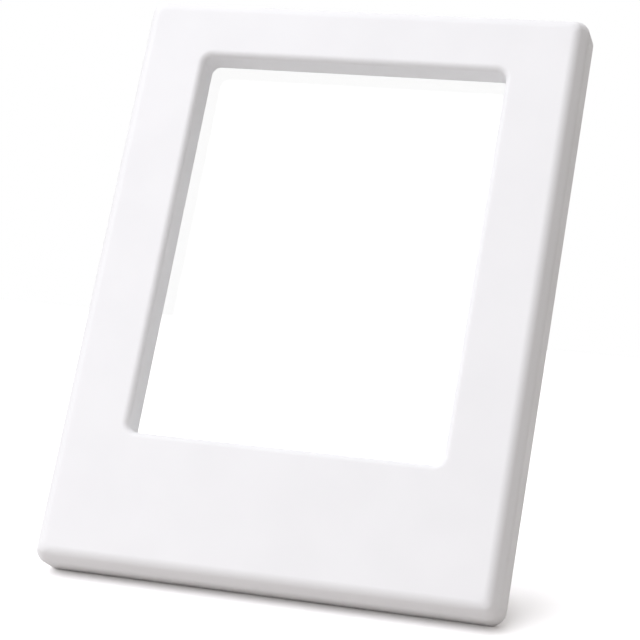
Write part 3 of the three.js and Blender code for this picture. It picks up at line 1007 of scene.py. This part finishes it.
class SwingLeg(bpy.types.Operator):
    """Make the swing-out leg and its rubber foot"""
    bl_idname = "photo_frame.swing_leg"
    bl_label = "Swing-out leg"

    def execute(self, context):
        sizes, finishes = context.scene.photo_frame_rear, context.scene.photo_frame_finishes
        plastic, rubber = plastic_material(finishes), rubber_material(finishes)
        make_piece("leg_moulding", [leg_shell(sizes)], "leg", "white_plastic", plastic, "swing_leg")
        make_piece("foot_strip", [foot_shell(sizes)], "leg", "grey_rubber", rubber, "leg_foot")
        return {"FINISHED"}


def seen_directly(tree):
    """1 where a surface is seen, also mirrored or through the pane, and 0 for the light that it gives."""
    path = add_node(tree, "ShaderNodeLightPath")
    seen = path.outputs["Is Camera Ray"]
    for name in ("Is Glossy Ray", "Is Transmission Ray"):
        seen = calculate(tree, "MAXIMUM", seen, path.outputs[name])
    return seen


def make_floor(stage):
    """A level square under the frame, which looks white where the light is whole and keeps the shadow."""
    side = np.linspace(-FLOOR_HALF, FLOOR_HALF, FLOOR_POINTS)
    x, y = np.meshgrid(side, side)
    points = np.column_stack([x.ravel(), y.ravel(), np.full(x.size, -FLOOR_DROP)])
    index = numbered(x.shape)
    corners = [index[:-1, :-1], index[:-1, 1:], index[1:, 1:], index[1:, :-1]]
    mesh = bpy.data.meshes.new("floor")
    mesh.from_pydata(points.tolist(), [], np.stack(corners, axis=-1).reshape(-1, 4).tolist())
    floor = bpy.data.objects.new("floor", mesh)
    bpy.context.scene.collection.objects.link(floor)
    material = bpy.data.materials.new("pale floor")
    tree = empty_tree(material)
    white = (stage.floor_white,) * 3 + (1.0,)
    shade = mixed_colour(tree, seen_directly(tree), stage.floor_colour, white)
    diffuse = add_node(tree, "ShaderNodeBsdfDiffuse", {"Color": shade})
    add_node(tree, "ShaderNodeOutputMaterial", {"Surface": diffuse.outputs[0]})
    mesh.materials.append(material)


def make_room(stage):
    """An even room: white where it is seen, and a plain warm grey for the light that it gives."""
    world = bpy.data.worlds.new("room")
    tree = empty_tree(world)
    lit = add_node(
        tree, "ShaderNodeBackground", {"Color": stage.room_colour, "Strength": stage.room_strength},
    )
    white = add_node(tree, "ShaderNodeBackground", {"Color": (1.0, 1.0, 1.0, 1.0), "Strength": 1.0})
    mix = add_node(
        tree, "ShaderNodeMixShader", {0: seen_directly(tree), 1: lit.outputs[0], 2: white.outputs[0]},
    )
    add_node(tree, "ShaderNodeOutputWorld", {"Surface": mix.outputs[0]})
    bpy.context.scene.world = world


def placed(axes, point):
    """The matrix of an object at a point, with its own axes as columns."""
    return Matrix.Translation(point) @ Matrix(axes.tolist()).to_4x4()


def make_lamp(name, stage, power, towards):
    """A round soft lamp in the given direction from the aim, turned to the frame."""
    light = bpy.data.lights.new(name, "AREA")
    light.shape = "DISK"
    light.size = stage.lamp_width
    light.energy = power
    light.color = stage.lamp_colour[:3]
    lamp = bpy.data.objects.new(name, light)
    towards = unit(np.array(towards))
    right = unit(np.cross((0, 0, 1), towards))
    axes = np.column_stack([right, np.cross(towards, right), towards])
    lamp.matrix_world = placed(axes, np.array(stage.aim) + towards * stage.lamp_distance)
    bpy.context.scene.collection.objects.link(lamp)


def make_camera(stage):
    """The photograph's viewpoint: back along the azimuth and elevation from the aim, then rolled."""
    level = math.cos(stage.elevation)
    back = np.array([
        math.sin(stage.azimuth) * level, -math.cos(stage.azimuth) * level, math.sin(stage.elevation),
    ])
    right = np.array([math.cos(stage.azimuth), math.sin(stage.azimuth), 0.0])
    up = np.cross(back, right)
    turn, tilt = math.cos(stage.roll), math.sin(stage.roll)
    axes = np.column_stack([turn * right - tilt * up, turn * up + tilt * right, back])
    data = bpy.data.cameras.new("camera")
    data.lens = stage.lens
    data.sensor_width = SENSOR_WIDTH
    data.clip_start = NEAREST_SEEN
    data.clip_end = FARTHEST_SEEN
    camera = bpy.data.objects.new("camera", data)
    camera.matrix_world = placed(axes, np.array(stage.aim) + back * stage.distance)
    bpy.context.scene.collection.objects.link(camera)
    bpy.context.scene.camera = camera


class Stage(bpy.types.Operator):
    """Make the camera, the floor, the room and the two lamps"""
    bl_idname = "photo_frame.stage"
    bl_label = "Stage"

    def execute(self, context):
        stage = context.scene.photo_frame_stage
        context.scene.view_settings.view_transform = "Standard"
        make_camera(stage)
        make_floor(stage)
        make_room(stage)
        make_lamp("key", stage, stage.key_power, stage.key_direction)
        make_lamp("back", stage, stage.back_power, stage.back_direction)
        return {"FINISHED"}


STEPS = (FrontMoulding, ClearPane, DiscMagnets, RearCover, GripPads, LegHinge, SwingLeg, Stage)
SETTINGS = {
    "photo_frame_front": FrontSizes,
    "photo_frame_rear": RearSizes,
    "photo_frame_finishes": Finishes,
    "photo_frame_stage": StageSettings,
}


class PhotoFramePanel(bpy.types.Panel):
    """Lists the frame's pieces and settings"""
    bl_idname = "VIEW3D_PT_photo_frame"
    bl_label = "Photo frame"
    bl_space_type = "VIEW_3D"
    bl_region_type = "UI"
    bl_category = "Photo frame"

    def draw(self, context):
        for step in STEPS:
            self.layout.operator(step.bl_idname)
        for name, group in SETTINGS.items():
            column = self.layout.box().column()
            for setting in group.__annotations__:
                column.prop(getattr(context.scene, name), setting)


CLASSES = (*SETTINGS.values(), *STEPS, PhotoFramePanel)


def register():
    for cls in CLASSES:
        bpy.utils.register_class(cls)
    for name, group in SETTINGS.items():
        setattr(bpy.types.Scene, name, PointerProperty(type=group))


def unregister():
    for name in SETTINGS:
        delattr(bpy.types.Scene, name)
    for cls in reversed(CLASSES):
        bpy.utils.unregister_class(cls)


def main():
    register()
    bpy.ops.photo_frame.front_moulding()
    bpy.ops.photo_frame.clear_pane()
    bpy.ops.photo_frame.disc_magnets()
    bpy.ops.photo_frame.rear_cover()
    bpy.ops.photo_frame.grip_pads()
    bpy.ops.photo_frame.leg_hinge()
    bpy.ops.photo_frame.swing_leg()
    bpy.ops.photo_frame.stage()


if __name__ == "__main__":
    main()
